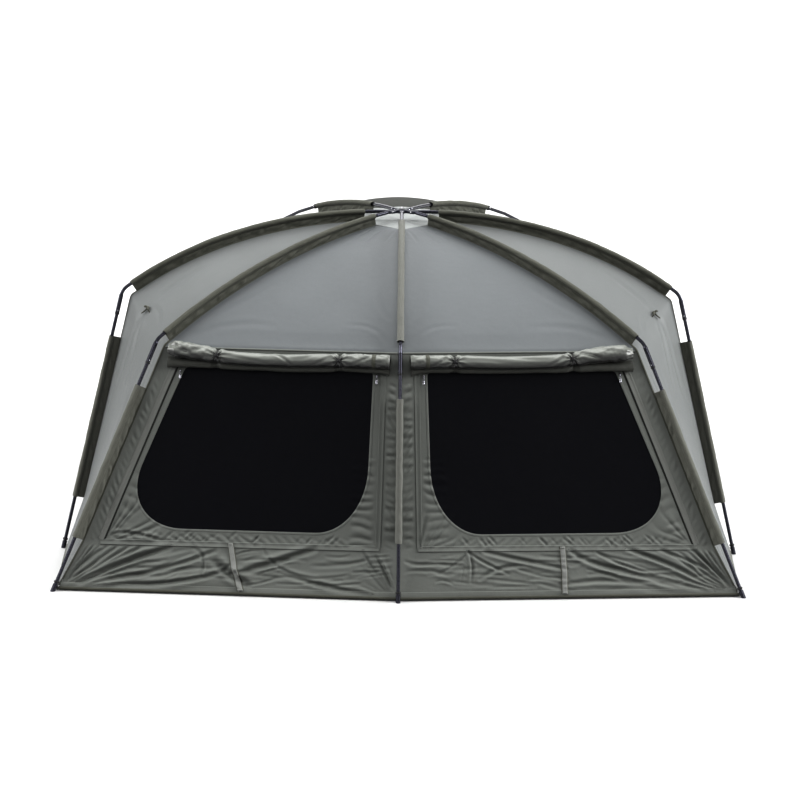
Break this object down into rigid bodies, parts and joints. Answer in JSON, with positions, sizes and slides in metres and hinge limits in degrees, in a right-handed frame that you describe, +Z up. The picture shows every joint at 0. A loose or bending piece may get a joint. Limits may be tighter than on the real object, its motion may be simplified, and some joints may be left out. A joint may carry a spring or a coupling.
{
  "type": "bivvy tent",
  "caption": "Hub-framed fishing bivvy with outside poles in fabric sleeves, a light roof, dark front walls with mesh windows and rolled covers.",
  "frame": {"origin": "on the ground at the middle of the overall width and depth", "axes": "-Y is the front with the windows, +X the right side as seen from the front, +Z up"},
  "size_m": [4.1078, 3.2847, 2.026],
  "materials": {
    "roof_fabric": "light grey coated polyester, slight sheen",
    "wall_fabric": "dark olive grey coated polyester",
    "sleeve_fabric": "dark olive woven polyester",
    "crown_fabric": "pale grey coated polyester",
    "mesh": "black insect mesh",
    "pole_metal": "dark anodised tube",
    "hub_plastic": "moulded, satin",
    "webbing": "grey woven webbing"
  },
  "bodies": {
    "root": {"hub_body": "hub_plastic", "hub_pin": "pole_metal", "crown_patch": "crown_fabric", "roof_pole_front_centre": "pole_metal", "leg_pole_front_centre": "pole_metal", "roof_sleeve_front_centre": "sleeve_fabric", "leg_sleeve_front_centre": "sleeve_fabric", "roof_pole_front_right": "pole_metal", "leg_pole_front_right": "pole_metal", "roof_sleeve_front_right": "sleeve_fabric", "leg_sleeve_front_right": "sleeve_fabric", "roof_pole_side_right": "pole_metal", "leg_pole_side_right": "pole_metal", "roof_sleeve_side_right": "sleeve_fabric", "leg_sleeve_side_right": "sleeve_fabric", "roof_pole_rear_right": "pole_metal", "leg_pole_rear_right": "pole_metal", "roof_sleeve_rear_right": "sleeve_fabric", "leg_sleeve_rear_right": "sleeve_fabric", "roof_pole_rear_left": "pole_metal", "leg_pole_rear_left": "pole_metal", "roof_sleeve_rear_left": "sleeve_fabric", "leg_sleeve_rear_left": "sleeve_fabric", "roof_pole_side_left": "pole_metal", "leg_pole_side_left": "pole_metal", "roof_sleeve_side_left": "sleeve_fabric", "leg_sleeve_side_left": "sleeve_fabric", "roof_pole_front_left": "pole_metal", "leg_pole_front_left": "pole_metal", "roof_sleeve_front_left": "sleeve_fabric", "leg_sleeve_front_left": "sleeve_fabric", "roof_front_left": "roof_fabric", "wall_front_left": "wall_fabric", "window_mesh_front_left": "mesh", "window_cover_front_left": "wall_fabric", "peg_strap_front_left": "webbing", "gore_side_left": "roof_fabric", "gore_rear_side_left": "roof_fabric", "roof_front_right": "roof_fabric", "wall_front_right": "wall_fabric", "window_mesh_front_right": "mesh", "window_cover_front_right": "wall_fabric", "peg_strap_front_right": "webbing", "gore_side_right": "roof_fabric", "gore_rear_side_right": "roof_fabric", "gore_rear": "roof_fabric"}
  },
  "joints": []
}
